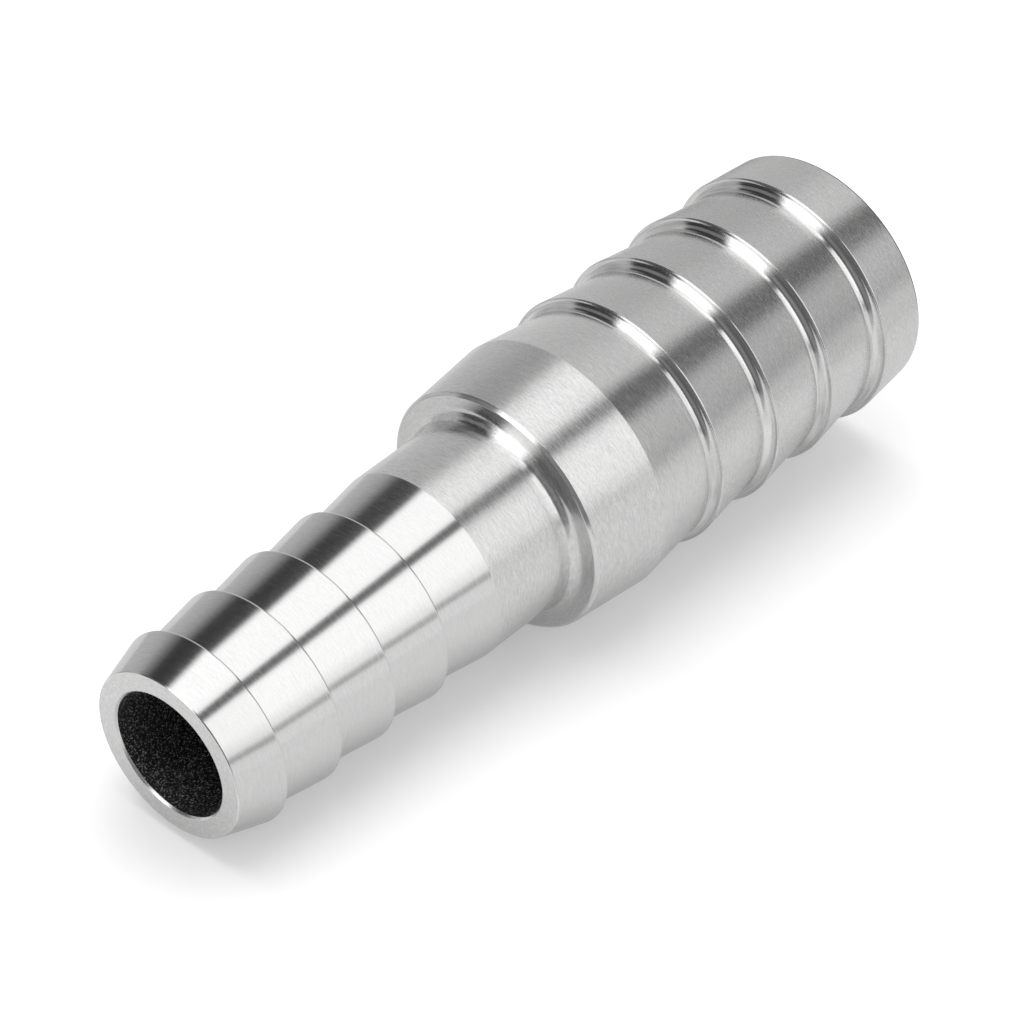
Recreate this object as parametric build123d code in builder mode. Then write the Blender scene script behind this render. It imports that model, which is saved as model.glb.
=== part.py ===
from build123d import *
from math import radians, tan
import os

# A hose reducer turned from one bar: a large barbed tail, a ridged collar, a plain neck and a
# small barbed tail, bored right through. Sizes are in millimetres. It stands on the end face of
# the large tail, with its axis on Z and the small tail on top.

# Large tail, for a hose of 16 mm bore
large_barb_count = 4
large_barb_pitch = 5.25
large_tip_length = 3.9
large_crest_diameter = 17.3
large_crest_land = 0.1
large_barb_height = 0.75
large_tip_drop = 0.35
large_foot_radius = 0.5

# Collar, a ridge between the large tail's top barb and the shoulder
heel_drop = 0.65
ridge_rise = 0.05
shoulder_drop = 0.5
heel_to_ridge = 5.4
ridge_to_shoulder = 5.65
shoulder_chamfer = 0.2

# Neck
neck_diameter = 13.0
neck_length = 6.65
neck_fillet = 0.9

# Small tail, for a hose of 12 mm bore
small_barb_count = 4
small_barb_pitch = 4.5
small_tip_length = 3.15
small_crest_diameter = 13.0
small_crest_land = 0.15
small_barb_height = 0.65
small_tip_drop = 0.9
neck_cone_length = 4.5

# Bores, joined by the cone that the larger drill leaves
small_bore_diameter = 8.4
large_bore_diameter = 13.2
large_bore_end_to_shoulder = 4.7
drill_point_angle = 118

# Broken edges
tip_chamfer = 0.15
mouth_chamfer = 0.2

# The most of a step that the curve at its foot may take up
most_of_step = 0.9

# The curve at a large foot is drawn in this many flats
foot_flat_count = 3

# How near a vertex has to be to count as the corner asked for
place_tolerance = 0.01

# Diameters worked out from the crests of the two tails
large_root_diameter = large_crest_diameter - 2 * large_barb_height
large_tip_diameter = large_crest_diameter - 2 * large_tip_drop
heel_diameter = large_crest_diameter - 2 * heel_drop
ridge_diameter = large_crest_diameter + 2 * ridge_rise
shoulder_diameter = ridge_diameter - 2 * shoulder_drop
small_root_diameter = small_crest_diameter - 2 * small_barb_height
small_tip_diameter = small_crest_diameter - 2 * small_tip_drop

# Heights worked out from the sizes above
top_large_crest = large_tip_length + (large_barb_count - 1) * large_barb_pitch
ridge_height = top_large_crest + heel_to_ridge
shoulder_height = ridge_height + ridge_to_shoulder
neck_top = shoulder_height + neck_length
lowest_small_crest = neck_top + neck_cone_length
large_bore_depth = shoulder_height - large_bore_end_to_shoulder
total_length = lowest_small_crest + (small_barb_count - 1) * small_barb_pitch + small_tip_length
drill_point_height = (large_bore_diameter - small_bore_diameter) / 2 / tan(radians(drill_point_angle / 2))

# Feet of the steps, as radius and height
large_crest_heights = [large_tip_length + barb * large_barb_pitch for barb in range(large_barb_count)]
small_crest_heights = [lowest_small_crest + barb * small_barb_pitch for barb in range(small_barb_count)]
large_feet = [(large_root_diameter / 2, height) for height in large_crest_heights[:-1]]
heel_foot = (heel_diameter / 2, top_large_crest)
small_feet = [(small_root_diameter / 2, height) for height in small_crest_heights]
neck_foot = (neck_diameter / 2, shoulder_height)

# The neck's fillet, limited by the flat of the shoulder
shoulder_flat = (shoulder_diameter - neck_diameter) / 2 - shoulder_chamfer
neck_foot_radius = min(neck_fillet, most_of_step * shoulder_flat)


def large_tail_outline():
    """Each barb widens upwards to a narrow land and drops square to the foot of the next."""
    points = [(large_tip_diameter / 2, 0)]
    for height, foot in zip(large_crest_heights, [*large_feet, heel_foot]):
        points.append((large_crest_diameter / 2, height - large_crest_land))
        points.append((large_crest_diameter / 2, height))
        points.append(foot)
    return points


def collar_outline():
    """The collar widens to its ridge, narrows to the shoulder and steps in to the neck."""
    return [
        (ridge_diameter / 2, ridge_height),
        (shoulder_diameter / 2, shoulder_height),
        neck_foot,
        (neck_diameter / 2, neck_top),
    ]


def small_tail_outline():
    """Each step faces down, so the barbs widen downwards from the small end."""
    points = []
    for height, foot in zip(small_crest_heights, small_feet):
        points.append(foot)
        points.append((small_crest_diameter / 2, height))
        points.append((small_crest_diameter / 2, height + small_crest_land))
    points.append((small_tip_diameter / 2, total_length))
    return points


def eased_foot(step_edge, foot, wall_end):
    """Points along the curve at a foot: its radius sets how far it reaches, its step limits it."""
    step, wall = Vector(*step_edge) - Vector(*foot), Vector(*wall_end) - Vector(*foot)
    reach = min(large_foot_radius / tan(radians(step.get_angle(wall)) / 2), most_of_step * step.length)
    shares = [flat / foot_flat_count for flat in range(foot_flat_count + 1)]
    return [Vector(*foot) + step.normalized() * reach * (1 - share) ** 2
            + wall.normalized() * reach * share ** 2 for share in shares]


def eased(outline):
    """The outline's corners, with a curve in place of each large foot."""
    points = outline[:1]
    for before, corner, after in zip(outline, outline[1:], outline[2:]):
        points += eased_foot(before, corner, after) if corner in [*large_feet, heel_foot] else [corner]
    return points + outline[-1:]


def corners(shape, places):
    """The shape's vertices at the given places."""
    return [vertex for vertex in shape.vertices()
            if any((Vector(vertex) - Vector(*place)).length < place_tolerance for place in places)]


with BuildPart() as hose_barb_reducer:
    # The turned outside, drawn as half of its section
    with BuildSketch(Plane.XZ) as section:
        with BuildLine():
            Polyline(eased([(0, 0), *large_tail_outline(), *collar_outline(), *small_tail_outline(),
                            (0, total_length)]), close=True)
        make_face()
        fillet(corners(section, [neck_foot]), neck_foot_radius)
        chamfer(corners(section, [(shoulder_diameter / 2, shoulder_height)]), shoulder_chamfer)
        chamfer(corners(section, [(large_tip_diameter / 2, 0)]), tip_chamfer)
        chamfer(corners(section, [(small_tip_diameter / 2, total_length)]), tip_chamfer)
    revolve(axis=Axis.Z)

    # The passage: the small bore right through, the large one from below with its drill point
    with BuildSketch(Plane.XY):
        Circle(small_bore_diameter / 2)
    extrude(amount=total_length, mode=Mode.SUBTRACT)
    with BuildSketch(Plane.XY):
        Circle(large_bore_diameter / 2)
    extrude(amount=large_bore_depth, mode=Mode.SUBTRACT)
    with Locations((0, 0, large_bore_depth)):
        Cone(large_bore_diameter / 2, small_bore_diameter / 2, drill_point_height,
             align=(Align.CENTER, Align.CENTER, Align.MIN), mode=Mode.SUBTRACT)

    # Both mouths have a small lead
    circles = hose_barb_reducer.edges().filter_by(GeomType.CIRCLE)
    chamfer(circles.group_by(Axis.Z)[0].sort_by(SortBy.RADIUS)[0], mouth_chamfer)
    chamfer(circles.group_by(Axis.Z)[-1].sort_by(SortBy.RADIUS)[0], mouth_chamfer)

hose_barb_reducer.part.label = "hose_barb_reducer"

os.makedirs("parts", exist_ok=True)
export_step(hose_barb_reducer.part, "parts/hose_barb_reducer.step")
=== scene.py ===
import bpy
from collections import namedtuple
from math import atan2, ceil, cos, pi, radians, sin, tan
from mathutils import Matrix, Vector


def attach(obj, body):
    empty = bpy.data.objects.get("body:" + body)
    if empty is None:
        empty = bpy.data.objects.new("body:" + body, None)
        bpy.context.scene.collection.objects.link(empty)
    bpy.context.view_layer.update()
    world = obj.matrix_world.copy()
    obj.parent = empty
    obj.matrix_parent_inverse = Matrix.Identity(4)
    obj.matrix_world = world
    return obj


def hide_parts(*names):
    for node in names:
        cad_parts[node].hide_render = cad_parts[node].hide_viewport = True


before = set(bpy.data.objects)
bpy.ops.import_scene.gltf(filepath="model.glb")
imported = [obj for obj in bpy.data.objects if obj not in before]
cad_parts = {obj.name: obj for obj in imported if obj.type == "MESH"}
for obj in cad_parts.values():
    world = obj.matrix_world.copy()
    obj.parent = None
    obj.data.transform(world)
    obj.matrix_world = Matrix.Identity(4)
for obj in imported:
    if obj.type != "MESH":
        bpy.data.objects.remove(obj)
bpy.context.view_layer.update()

MM = 0.001

# Sizes of the turned body in millimetres, as in the CAD source

# Large tail
large_barb_count = 4
large_barb_pitch = 5.25
large_tip_length = 3.9
large_crest_diameter = 17.3
large_crest_land = 0.1
large_barb_height = 0.75
large_tip_drop = 0.35

# Collar, a ridge between the large tail's top barb and the shoulder
heel_drop = 0.65
ridge_rise = 0.05
shoulder_drop = 0.5
heel_to_ridge = 5.4
ridge_to_shoulder = 5.65

# Neck
neck_diameter = 13.0
neck_length = 6.65

# Small tail
small_barb_count = 4
small_barb_pitch = 4.5
small_tip_length = 3.15
small_crest_diameter = 13.0
small_crest_land = 0.15
small_barb_height = 0.65
small_tip_drop = 0.9
neck_cone_length = 4.5

# Bores, joined by the cone that the larger drill leaves
small_bore_diameter = 8.4
large_bore_diameter = 13.2
large_bore_end_to_shoulder = 4.7
drill_point_angle = 118

# Radii worked out from the diameters
large_crest = large_crest_diameter / 2
large_root = large_crest - large_barb_height
large_tip = large_crest - large_tip_drop
heel = large_crest - heel_drop
ridge = large_crest + ridge_rise
shoulder = ridge - shoulder_drop
neck = neck_diameter / 2
small_crest = small_crest_diameter / 2
small_root = small_crest - small_barb_height
small_tip = small_crest - small_tip_drop
small_bore = small_bore_diameter / 2
large_bore = large_bore_diameter / 2

# Heights worked out from the lengths
large_crest_heights = [large_tip_length + barb * large_barb_pitch for barb in range(large_barb_count)]
ridge_height = large_crest_heights[-1] + heel_to_ridge
shoulder_height = ridge_height + ridge_to_shoulder
neck_top = shoulder_height + neck_length
lowest_small_crest = neck_top + neck_cone_length
large_bore_depth = shoulder_height - large_bore_end_to_shoulder
small_crest_heights = [lowest_small_crest + barb * small_barb_pitch for barb in range(small_barb_count)]
total_length = small_crest_heights[-1] + small_tip_length
drill_point_height = (large_bore - small_bore) / tan(radians(drill_point_angle / 2))

# Roundings and chamfers of the finished edges, in millimetres
crest_round = 0.12
small_crest_round = 0.1
small_foot_round = 0.12
ridge_round = 0.18
shoulder_round = 0.08
neck_top_round = 0.3
tip_round = 0.1
mouth_round = 0.08
end_round = 0.25
shoulder_chamfer = 0.2
mouth_chamfer = 0.14

# The curve at the foot of a large step, and how much higher the foot lies than the crest
cove_radius = 0.78
cove_lift = 0.14

# The curve at the foot of the neck, and the slight flare above it
neck_cove_radius = 0.76
neck_flare_length = 0.9
neck_flare_rise = 0.16
neck_flare_radius = 3.0

# The largest angle between two neighbouring normals of a rounding, and the facets round the axis
rounding_step = radians(6)
turned_facets = 240

# The finishes, in the order of the material slots
FINE, NECK, COLLAR, BARB, FACED, BORE = range(6)

# A corner of the section has the finish of its rounding and that of the run after it. A point of the
# rounded section has the angles of the normals before and after it, and the finish after it.
Corner = namedtuple("Corner", "radius height rounding finish next_finish")
Point = namedtuple("Point", "radius height arriving leaving finish")


def large_tail_corners():
    """From the end face on, each barb widens to a narrow land and steps in to a curve."""
    corners = [Corner(large_bore + mouth_chamfer, 0, mouth_round, FACED, FACED),
               Corner(large_tip, 0, end_round, FACED, BARB)]
    for height in large_crest_heights:
        last = height == large_crest_heights[-1]
        foot = heel if last else large_root
        widening = (ridge - foot) / heel_to_ridge if last else (large_crest - foot) / large_barb_pitch
        corners.append(Corner(large_crest, height - large_crest_land, crest_round, BARB, FACED))
        corners.append(Corner(large_crest, height, crest_round, FACED, FACED))
        corners.append(Corner(foot + widening * cove_lift, height + cove_lift, cove_radius, FACED,
                              COLLAR if last else BARB))
    return corners


def collar_corners():
    """The collar goes on to its ridge and narrows to the shoulder's broken edge."""
    return [
        Corner(ridge, ridge_height, ridge_round, COLLAR, COLLAR),
        Corner(shoulder, shoulder_height - shoulder_chamfer, shoulder_round, FACED, FACED),
        Corner(shoulder - shoulder_chamfer, shoulder_height, shoulder_round, FACED, COLLAR),
    ]


def neck_corners():
    """The neck leaves the shoulder in a curve and a slight flare, and goes straight up."""
    return [
        Corner(neck + neck_flare_rise, shoulder_height, neck_cove_radius, NECK, NECK),
        Corner(neck, shoulder_height + neck_flare_length, neck_flare_radius, NECK, NECK),
        Corner(neck, neck_top, neck_top_round, FINE, FINE),
    ]


def small_tail_corners():
    """Each step faces down, so the barbs widen downwards from the small end."""
    corners = []
    for height in small_crest_heights:
        corners.append(Corner(small_root, height, small_foot_round, FINE, FINE))
        corners.append(Corner(small_crest, height, small_crest_round, FINE, FINE))
        corners.append(Corner(small_crest, height + small_crest_land, small_crest_round, FINE, FINE))
    corners.append(Corner(small_tip, total_length, tip_round, FACED, BARB))
    return corners


def passage_corners():
    """Down through the small bore, the drill point and the large bore, with a small lead at each mouth."""
    return [
        Corner(small_bore + mouth_chamfer, total_length, mouth_round, BARB, BARB),
        Corner(small_bore, total_length - mouth_chamfer, mouth_round, BARB, BORE),
        Corner(small_bore, large_bore_depth + drill_point_height, 0, BORE, BORE),
        Corner(large_bore, large_bore_depth, 0, BORE, BORE),
        Corner(large_bore, mouth_chamfer, 0, FACED, FACED),
    ]


def spans(corners):
    """For each corner its place, the ways back and ahead, and how far along them its rounding reaches."""
    places = [Vector((corner.radius, corner.height)) for corner in corners]
    found = []
    for n, (corner, here) in enumerate(zip(corners, places)):
        back, ahead = places[n - 1] - here, places[(n + 1) % len(places)] - here
        found.append((here, back, ahead, corner.rounding / tan(back.angle(ahead) / 2)))
    return found


def arc(here, back, ahead, reach, arriving, leaving):
    """Places along the rounding of a corner, each with the angle of its normal."""
    half = back.angle(ahead) / 2
    radius = reach * tan(half)
    centre = here + (back.normalized() + ahead.normalized()).normalized() * (radius / sin(half))
    turned = (leaving - arriving + pi) % (2 * pi) - pi
    side = radius if turned > 0 else -radius
    steps = max(2, ceil(abs(turned) / rounding_step))
    angles = [arriving + turned * step / steps for step in range(steps + 1)]
    return [(centre.x + side * cos(angle), centre.y + side * sin(angle), angle) for angle in angles]


def rounded(corners):
    """The points round the section, with an arc of points at each corner that has a rounding."""
    points = []
    found = spans(corners)
    for n, (corner, (here, back, ahead, reach)) in enumerate(zip(corners, found)):
        arriving, leaving = atan2(back.x, -back.y), atan2(-ahead.x, ahead.y)
        if not reach:
            points.append(Point(here.x, here.y, arriving, leaving, corner.next_finish))
            continue
        # Neighbours that need more than their run give way in proportion
        before, after = found[n - 1][3], found[(n + 1) % len(found)][3]
        reach *= min(1, back.length / (reach + before), ahead.length / (reach + after))
        curve = arc(here, back, ahead, reach, arriving, leaving)
        points += [Point(radius, height, angle, angle, corner.finish) for radius, height, angle in curve]
        points[-1] = points[-1]._replace(finish=corner.next_finish)
    return points


def add_object(name, data):
    """A new object with the given data, linked to the scene."""
    made = bpy.data.objects.new(name, data)
    bpy.context.scene.collection.objects.link(made)
    return made


def lathe(name, points, around):
    """The section turned about Z, with the exact normals of its runs and curves."""
    turns = [2 * pi * step / around for step in range(around)]
    vertices = [(point.radius * MM * cos(turn), point.radius * MM * sin(turn), point.height * MM)
                for point in points for turn in turns]
    faces, finishes, normals = [], [], []
    for ring, point in enumerate(points):
        next_ring = (ring + 1) % len(points)
        leaving, arriving = point.leaving, points[next_ring].arriving
        for step in range(around):
            next_step = (step + 1) % around
            faces.append((ring * around + step, ring * around + next_step,
                          next_ring * around + next_step, next_ring * around + step))
            finishes.append(point.finish)
            for angle, turn in ((leaving, turns[step]), (leaving, turns[next_step]),
                                (arriving, turns[next_step]), (arriving, turns[step])):
                normals.append((cos(angle) * cos(turn), cos(angle) * sin(turn), sin(angle)))
    mesh = bpy.data.meshes.new(name)
    mesh.from_pydata(vertices, [], faces)
    mesh.polygons.foreach_set("material_index", finishes)
    mesh.shade_smooth()
    mesh.normals_split_custom_set(normals)
    mesh.update()
    return add_object(name, mesh)


class Nodes:
    """Short names for adding nodes to a node tree and joining them."""

    def __init__(self, tree):
        self.tree = tree

    def add(self, kind, inputs=None, output=0, **settings):
        made = self.tree.nodes.new("ShaderNode" + kind)
        for key, value in settings.items():
            setattr(made, key, value)
        for key, value in (inputs or {}).items():
            self.join(value, made.inputs[key])
        return made.outputs[output]

    def join(self, value, socket):
        if isinstance(value, bpy.types.NodeSocket):
            self.tree.links.new(value, socket)
        else:
            socket.default_value = value

    def math(self, operation, *values):
        return self.add("Math", dict(enumerate(values)), operation=operation)

    def vector(self, operation, *values, output="Vector"):
        return self.add("VectorMath", dict(enumerate(values)), output, operation=operation)

    def split(self, vector):
        return self.add("SeparateXYZ", {0: vector}).node.outputs

    def mix(self, factor, none, full):
        return self.add("Mix", {"Factor": factor, "A": none, "B": full}, data_type="FLOAT")

    def remap(self, value, start, end, low=0.0, high=1.0, smooth=False):
        limits = {"From Min": start, "From Max": end, "To Min": low, "To Max": high}
        return self.add("MapRange", {"Value": value, **limits},
                        interpolation_type="SMOOTHSTEP" if smooth else "LINEAR")


# The lines of the turned steel run on over faces that lie across the axis, closer together by this factor
across_faces = 1.7

# The detail of the lines and the specks, and the stretch of values in which most of the lines lie
line_detail = 2.0
line_roughness = 0.65
speck_detail = 1.0
usual_values = (0.3, 0.7)

# The share by which the lines raise and lower the roughness, and the turn that spreads the highlights
# across the lines
gloss_spread = 0.15
quarter_turn = 0.25


def steel(name, colour, roughness, anisotropy, strokes, lines, specks, grain, tones, relief,
          values=usual_values):
    """Fine lines round the axis and a finer grain, in the tone, the gloss and the relief.

    Strokes round the axis, lines across it and specks are per metre, and grain is the share of specks.
    Over the given values the pattern goes from one tone to the other. The relief is in metres.
    """
    material = bpy.data.materials.new(name)
    material.use_nodes = True
    nodes = Nodes(material.node_tree)
    shader = nodes.tree.nodes["Principled BSDF"]
    place = nodes.add("TexCoord", output="Object")
    x, y, z = nodes.split(place)
    squares = nodes.math("ADD", nodes.math("MULTIPLY", x, x), nodes.math("MULTIPLY", y, y))
    across = nodes.math("MULTIPLY_ADD", nodes.math("SQRT", squares), across_faces, z)
    stretched = nodes.add("CombineXYZ", {0: nodes.math("MULTIPLY", x, strokes),
                                         1: nodes.math("MULTIPLY", y, strokes),
                                         2: nodes.math("MULTIPLY", across, lines)})
    line = nodes.add("TexNoise", {"Vector": stretched, "Scale": 1.0, "Detail": line_detail,
                                  "Roughness": line_roughness})
    speck = nodes.add("TexNoise", {"Vector": place, "Scale": specks, "Detail": speck_detail})
    mixed = nodes.math("MULTIPLY_ADD", speck, grain, nodes.math("MULTIPLY", line, 1 - grain))
    tone = nodes.remap(mixed, *values, *tones)
    shade = nodes.add("VectorMath", {0: colour, "Scale": tone}, operation="SCALE")
    gloss = nodes.remap(line, *usual_values, roughness * (1 - gloss_spread), roughness * (1 + gloss_spread))
    bumps = nodes.add("Bump", {"Height": mixed, "Strength": 1.0, "Distance": relief})
    nodes.join(shade, shader.inputs["Base Color"])
    nodes.join(1.0, shader.inputs["Metallic"])
    nodes.join(gloss, shader.inputs["Roughness"])
    nodes.join(anisotropy, shader.inputs["Anisotropic"])
    nodes.join(quarter_turn, shader.inputs["Anisotropic Rotation"])
    nodes.join(nodes.add("Tangent", direction_type="RADIAL", axis="Z"), shader.inputs["Tangent"])
    nodes.join(bumps, shader.inputs["Normal"])
    return material


body = lathe("turned_body", rounded([*large_tail_corners(), *collar_corners(), *neck_corners(),
                                     *small_tail_corners(), *passage_corners()]), turned_facets)
finishes = [
    steel("steel_fine", colour=(0.69, 0.688, 0.686), roughness=0.13, anisotropy=0.3, strokes=1500,
          lines=14000, specks=9000, grain=0.3, tones=(0.94, 1.06), relief=1.3e-6),
    steel("steel_neck", colour=(0.69, 0.688, 0.686), roughness=0.2, anisotropy=0.5, strokes=1800,
          lines=13000, specks=8000, grain=0.25, tones=(0.82, 1.15), relief=3.2e-6),
    steel("steel_collar", colour=(0.68, 0.678, 0.676), roughness=0.22, anisotropy=0.5, strokes=1800,
          lines=13000, specks=8000, grain=0.25, tones=(0.82, 1.15), relief=3.2e-6),
    steel("steel_barb", colour=(0.67, 0.668, 0.666), roughness=0.25, anisotropy=0.45, strokes=2600,
          lines=8500, specks=7000, grain=0.3, tones=(0.85, 1.13), relief=6e-6),
    steel("steel_faced", colour=(0.7, 0.698, 0.696), roughness=0.13, anisotropy=0.4, strokes=250,
          lines=7500, specks=9000, grain=0.2, tones=(0.72, 1.25), relief=6e-6),
    # The bore's steel is painted far darker than the outside, as painted shade inside the bore, and its
    # bright specks are partly grain and partly painted glints
    steel("steel_bore_painted_shade", colour=(0.35, 0.35, 0.35), roughness=0.45, anisotropy=0.0, strokes=8000,
          lines=12000, specks=9000, grain=1.0, tones=(0.3, 3.2), relief=20e-6, values=(0.54, 0.69)),
]
for finish in finishes:
    body.data.materials.append(finish)
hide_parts("hose_barb_reducer")
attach(body, "root")

# Camera, placed from the ellipses and outlines of the steps in the picture. Its place and range are in
# metres, its turn in degrees, its lens and sensor in millimetres.
camera_place = (0.03819259, -0.24336668, 0.19258327)
camera_turn = (-42.207211, 41.86674, -134.587139)
camera_lens = 172.26562
camera_sensor = 36
camera_range = (0.01, 10)

camera = add_object("camera", bpy.data.cameras.new("camera"))
camera.location = camera_place
camera.rotation_euler = [radians(angle) for angle in camera_turn]
camera.data.sensor_width = camera_sensor
camera.data.lens = camera_lens
camera.data.clip_start, camera.data.clip_end = camera_range
bpy.context.scene.camera = camera

# Floor: the part is photographed lying on its side, so the floor touches the ridge and the top small
# crest there, but for a small gap in millimetres. From behind it is clear.
floor_side = radians(135)
floor_gap = 0.05
floor_reach = 0.6

outwards = Vector((cos(floor_side), sin(floor_side), 0))
lean = atan2(ridge - small_crest, small_crest_heights[-1] - ridge_height)
along = Vector((0, 0, cos(lean))) - outwards * sin(lean)
inwards = -(outwards * cos(lean) + Vector((0, 0, sin(lean))))
sideways = along.cross(inwards)
touch = (outwards * ridge + Vector((0, 0, ridge_height))) * MM - inwards * floor_gap * MM
middle = Vector((0, 0, total_length / 2 * MM))

# What the floor shows to the camera, and what it shows to the metal. For the metal it is painted paler on
# the camera's side than on the far side, and paler still in front of the small end, as painted light and
# shade in the metal's reflections. The metal sees only the floor near the part.
floor_to_camera = 0.95
painted_floor_near_side = 0.66
painted_floor_far_side = 0.55
painted_floor_in_front = 0.72
floor_glow = 0.15

# Where that changes, in metres: to both sides of the part, past the small end and away from its middle
side_width = 0.02
front_width = 0.004
fading_start = 0.045
fading_end = 0.07


def floor_white():
    """The floor's material, clear from behind and, for all but the camera, away from the part."""
    material = bpy.data.materials.new("floor_white")
    material.use_nodes = True
    nodes = Nodes(material.node_tree)
    nodes.tree.nodes.clear()
    camera_ray = nodes.add("LightPath", output="Is Camera Ray")
    place = nodes.add("TexCoord", output="Object")
    across = nodes.vector("DOT_PRODUCT", place, sideways, output="Value")
    # The floor as the metal sees it is painted paler on the camera's side and in front of the small end:
    # painted light and shade
    side = nodes.remap(across, -side_width, side_width, painted_floor_near_side, painted_floor_far_side)
    small_end = total_length * MM
    front = nodes.remap(nodes.split(place)["Z"], small_end, small_end + front_width)
    tint = nodes.mix(camera_ray, nodes.mix(front, side, painted_floor_in_front), floor_to_camera)
    away = nodes.vector("DISTANCE", place, middle, output="Value")
    faded = nodes.remap(away, fading_start, fading_end, smooth=True)
    hidden = nodes.math("MULTIPLY", nodes.math("SUBTRACT", 1.0, camera_ray), faded)
    clear = nodes.math("MAXIMUM", nodes.add("NewGeometry", output="Backfacing"), hidden)
    white = nodes.add("AddShader", {0: nodes.add("BsdfDiffuse", {"Color": tint}),
                                    1: nodes.add("Emission", {"Strength": floor_glow})})
    cover = nodes.add("MixShader", {0: clear, 1: white, 2: nodes.add("BsdfTransparent")})
    nodes.join(cover, nodes.tree.nodes.new("ShaderNodeOutputMaterial").inputs["Surface"])
    return material


sheet = bpy.data.meshes.new("floor")
sheet.from_pydata([touch + along * floor_reach * a + sideways * floor_reach * b
                   for a, b in ((-1, -1), (1, -1), (1, 1), (-1, 1))], [], [(0, 3, 2, 1)])
sheet.materials.append(floor_white())
floor = add_object("floor", sheet)
floor.visible_diffuse = floor.visible_transmission = floor.visible_shadow = False

# One large soft lamp above the floor, for its shadow, in metres and watts
lamp_size = 0.3
lamp_distance = 0.3
lamp_energy = 0.455
lamp_tilt = radians(8)

lamp = add_object("soft_lamp", bpy.data.lights.new("soft_lamp", "AREA"))
lamp.data.shape = "DISK"
lamp.data.size = lamp_size
lamp.data.energy = lamp_energy
from_floor = inwards * cos(lamp_tilt) + sideways * sin(lamp_tilt)
lamp.location = touch + from_floor * lamp_distance
lamp.rotation_euler = from_floor.to_track_quat("Z", "Y").to_euler()
lamp.visible_glossy = False

# World: white behind the part, and for reflections a studio of soft bands of light and dark cards. Each
# is placed by the way a surface faces that mirrors it to the camera, half-way between the light's
# direction and the camera's. The values are the brightness of the backdrop, of the light on the floor
# and of what shines from below.
backdrop_light = 1.0
diffuse_light = 0.7
light_from_below = 0.15

# Where the picture's angles about the axis start
angle_start = radians(-13.4)

# Where one set of bands passes into the next, as the height of a unit vector the way the surface faces
below_to_barbs = (-0.27, -0.2)
barbs_to_neck = (-0.08, -0.03)
neck_to_cones = (0.112, 0.132)
cones_to_steps = (0.33, 0.4)
steps_to_corner = (0.5, 0.56)
corner_to_steps = (0.7, 0.78)

world = bpy.data.worlds.new("studio")
bpy.context.scene.world = world
world.use_nodes = True
studio = Nodes(world.node_tree)
studio.tree.nodes.clear()
to_camera = (camera.location - middle).normalized()
direction = studio.add("TexCoord", output="Generated")
east, north, up = studio.split(studio.vector("NORMALIZE", studio.vector("ADD", direction, to_camera)))
from_start = studio.math("SUBTRACT", angle_start, studio.math("ARCTAN2", north, east))
share = studio.math("MULTIPLY_ADD", studio.math("WRAP", from_start, pi, -pi), 1 / (2 * pi), 0.5)


def ramp(stops):
    """Brightness by the angle about the axis, in degrees from -180 to 180."""
    made = studio.add("ValToRGB", {0: share})
    elements = made.node.color_ramp.elements
    while len(elements) > 1:
        elements.remove(elements[-1])
    for n, (angle, value) in enumerate(stops.items()):
        position = (angle + 180) / 360
        element = elements.new(position) if n else elements[0]
        element.position = position
        element.color = (value, value, value, 1)
    return made


def rising(edge):
    """From 0 to 1 as the surface faces further up, between the two ends of an edge."""
    return studio.remap(up, *edge, smooth=True)


# As the large barbs and the collar below its ridge mirror the studio
barb_bands = ramp({-180: 0.8, -5: 0.8, 10: 0.76, 22: 0.7, 32: 0.67, 46: 0.78, 54: 0.8, 59: 0.16, 68: 0.13,
                   72: 0.55, 76: 0.64, 84: 0.6, 91: 0.51, 97: 0.84, 110: 0.77, 180: 0.8})

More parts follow.
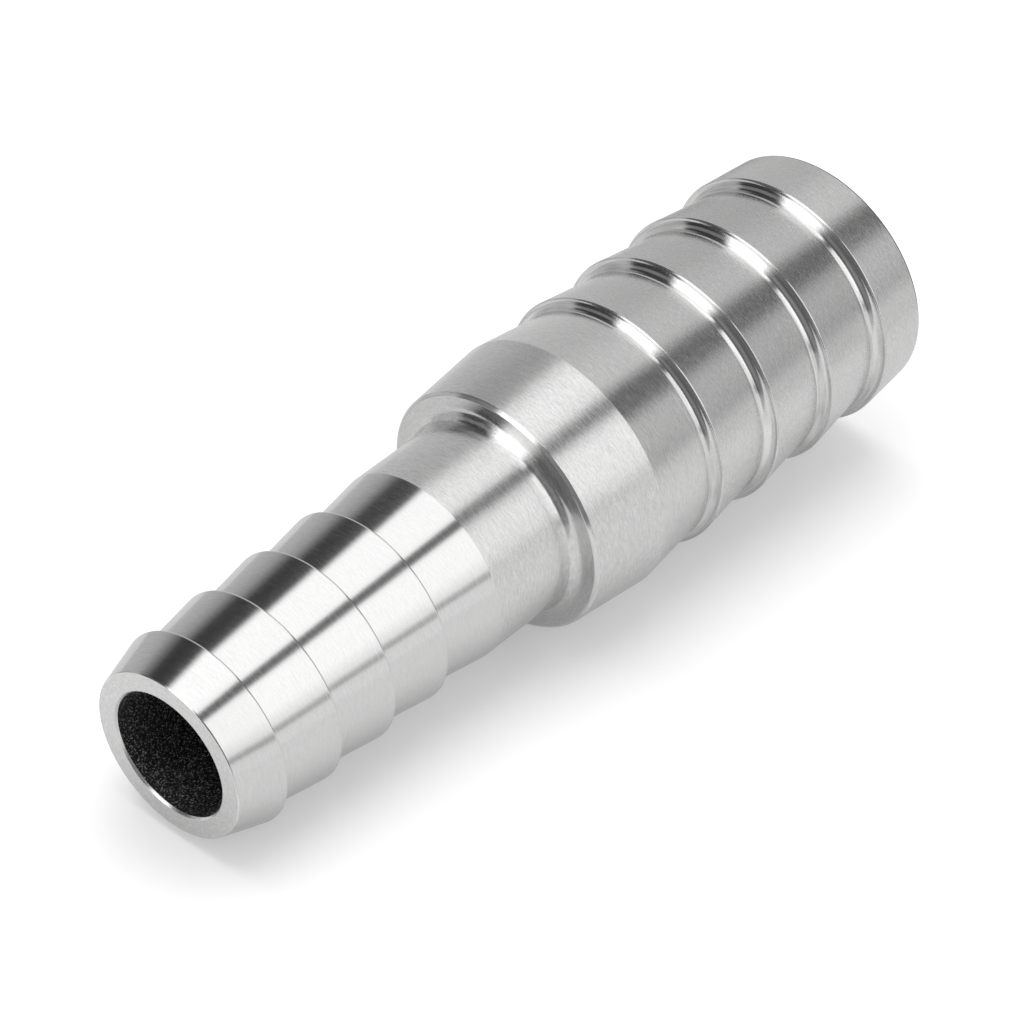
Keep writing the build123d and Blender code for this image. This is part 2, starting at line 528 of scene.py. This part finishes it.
# As the neck and the collar above its ridge mirror it
neck_bands = ramp({-180: 0.66, -5: 0.66, 5: 0.62, 20: 0.58, 27: 0.57, 31: 0.65, 36: 0.95, 41: 1.13, 46: 1.2,
                   51: 1.18, 55: 1.05, 58: 0.28, 62: 0.28, 66: 1.0, 70: 1.2, 80: 1.18, 87: 1.08, 91: 0.88,
                   96: 0.84, 105: 0.88, 180: 0.9})

# As the cones of the small tail mirror it
cone_bands = ramp({-180: 0.55, -15: 0.58, -5: 0.56, 3: 0.5, 10: 0.38, 14: 0.22, 18: 0.07, 22: 0.05, 27: 0.06,
                   32: 0.1, 35.7: 1.4, 57.5: 1.4, 59.3: 0.17, 63: 0.17, 65: 1.4, 82: 1.38, 90.5: 1.05,
                   92: 0.5, 94: 0.5, 95.5: 0.92, 180: 0.95})

# As the curves at the feet of the steps mirror it
step_bands = ramp({-180: 0.6, 8: 0.55, 9.5: 0.04, 31: 0.05, 35: 2.0, 52: 2.0, 57: 0.13, 96: 0.16,
                   97.5: 0.55, 180: 0.55})

# As the corner of the shoulder and the neck mirrors it by two bounces
corner_bands = ramp({-180: 0.6, 8: 0.55, 12: 0.22, 31: 0.22, 35: 1.7, 52: 1.7, 57: 0.26, 96: 0.28,
                     97.5: 0.5, 180: 0.5})

not_past_corner = studio.math("SUBTRACT", 1.0, rising(corner_to_steps))
in_corner = studio.math("MULTIPLY", rising(steps_to_corner), not_past_corner)
barbs_and_neck = studio.mix(rising(barbs_to_neck), barb_bands, neck_bands)
low_bands = studio.mix(rising(below_to_barbs), light_from_below, barbs_and_neck)
cones_and_below = studio.mix(rising(neck_to_cones), low_bands, cone_bands)
bands = studio.mix(rising(cones_to_steps), cones_and_below, studio.mix(in_corner, step_bands, corner_bands))
ray = studio.add("LightPath").node.outputs
mirrored = studio.math("ADD", ray["Is Glossy Ray"], ray["Is Transmission Ray"])
light = studio.mix(ray["Is Camera Ray"], studio.mix(mirrored, diffuse_light, bands), backdrop_light)
background = studio.add("Background", {"Color": light})
studio.join(background, studio.tree.nodes.new("ShaderNodeOutputWorld").inputs["Surface"])

bpy.context.scene.view_settings.view_transform = "Standard"
